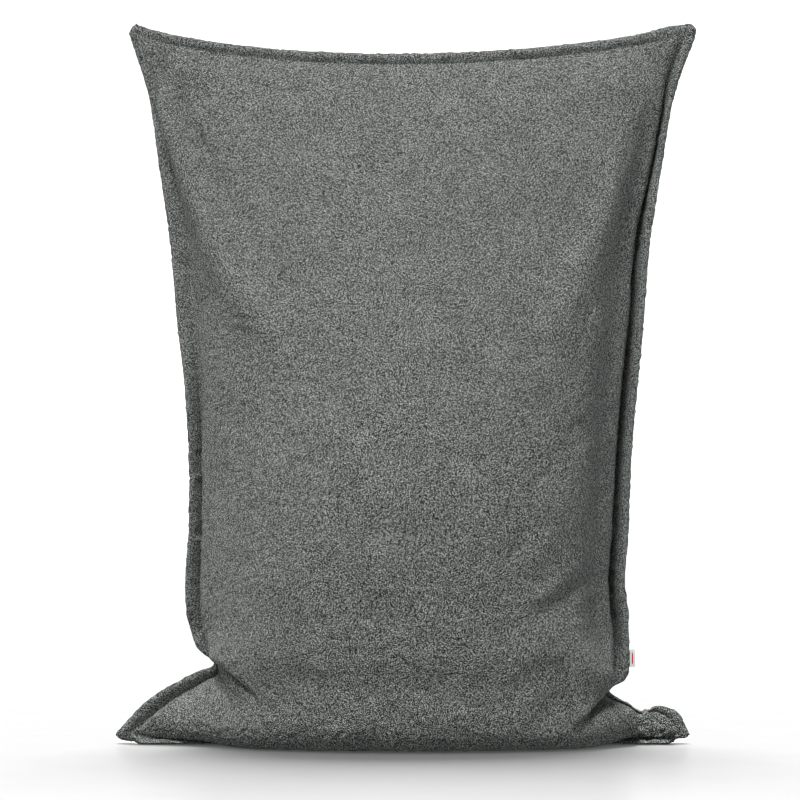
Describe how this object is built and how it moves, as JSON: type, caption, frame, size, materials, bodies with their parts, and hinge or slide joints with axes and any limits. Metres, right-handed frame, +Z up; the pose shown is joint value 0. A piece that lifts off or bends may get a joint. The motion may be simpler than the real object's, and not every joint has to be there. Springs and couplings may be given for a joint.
{
  "type": "bean bag chair",
  "caption": "Giant rectangular floor pillow standing on its bottom seam, with a flat stitched border, spread lower corners, a zip across the back and a bead-filled liner inside.",
  "frame": {"origin": "on the floor, under the middle of the object's box", "axes": "+X to the right seen from the front, +Y to the back with the zip, +Z up"},
  "size_m": [1.3858, 0.6606, 1.721],
  "materials": {
    "boucle": "matte",
    "thread": "matte",
    "ribbon": "satin",
    "zip_tape": "matte",
    "zip_coil": "satin",
    "zip_metal": "satin",
    "liner_cloth": "matte",
    "beads": "matte"
  },
  "bodies": {
    "bag": {"cover_front_panel": "boucle", "cover_back_upper_panel": "boucle", "cover_back_lower_panel": "boucle", "border_stitch_front": "thread", "border_stitch_back": "thread", "zip_stitch_upper": "thread", "zip_stitch_lower": "thread", "side_label": "ribbon", "care_label": "ribbon", "zip_tape_upper": "zip_tape", "zip_tape_lower": "zip_tape", "zip_coil_upper": "zip_coil", "zip_coil_lower": "zip_coil", "zip_top_stop_upper": "zip_metal", "zip_top_stop_lower": "zip_metal", "zip_bottom_stop": "zip_metal", "liner_front_panel": "liner_cloth", "liner_back_upper_panel": "liner_cloth", "liner_back_lower_panel": "liner_cloth", "liner_zip_tape_upper": "zip_tape", "liner_zip_tape_lower": "zip_tape", "liner_zip_coil_upper": "zip_coil", "liner_zip_coil_lower": "zip_coil", "liner_zip_top_stop_upper": "zip_metal", "liner_zip_top_stop_lower": "zip_metal", "liner_zip_bottom_stop": "zip_metal", "bead_fill": "beads"},
    "slider": {"zip_slider": "zip_metal"},
    "pull": {"zip_pull": "zip_metal"},
    "liner_slider": {"liner_zip_slider": "zip_metal"}
  },
  "joints": [
    {"name": "zip_slide", "type": "slide", "parent": "bag", "child": "slider", "axis": [-1, 0, 0], "range_m": [0, 0.499]},
    {"name": "pull_hinge", "type": "hinge", "parent": "slider", "child": "pull", "pos_m": [0.24985, 0.2734, 0.42], "axis": [0, 0, 1], "range_deg": [0, 180]},
    {"name": "liner_zip_slide", "type": "slide", "parent": "bag", "child": "liner_slider", "axis": [-1, 0, 0], "range_m": [0, 0.459]}
  ]
}
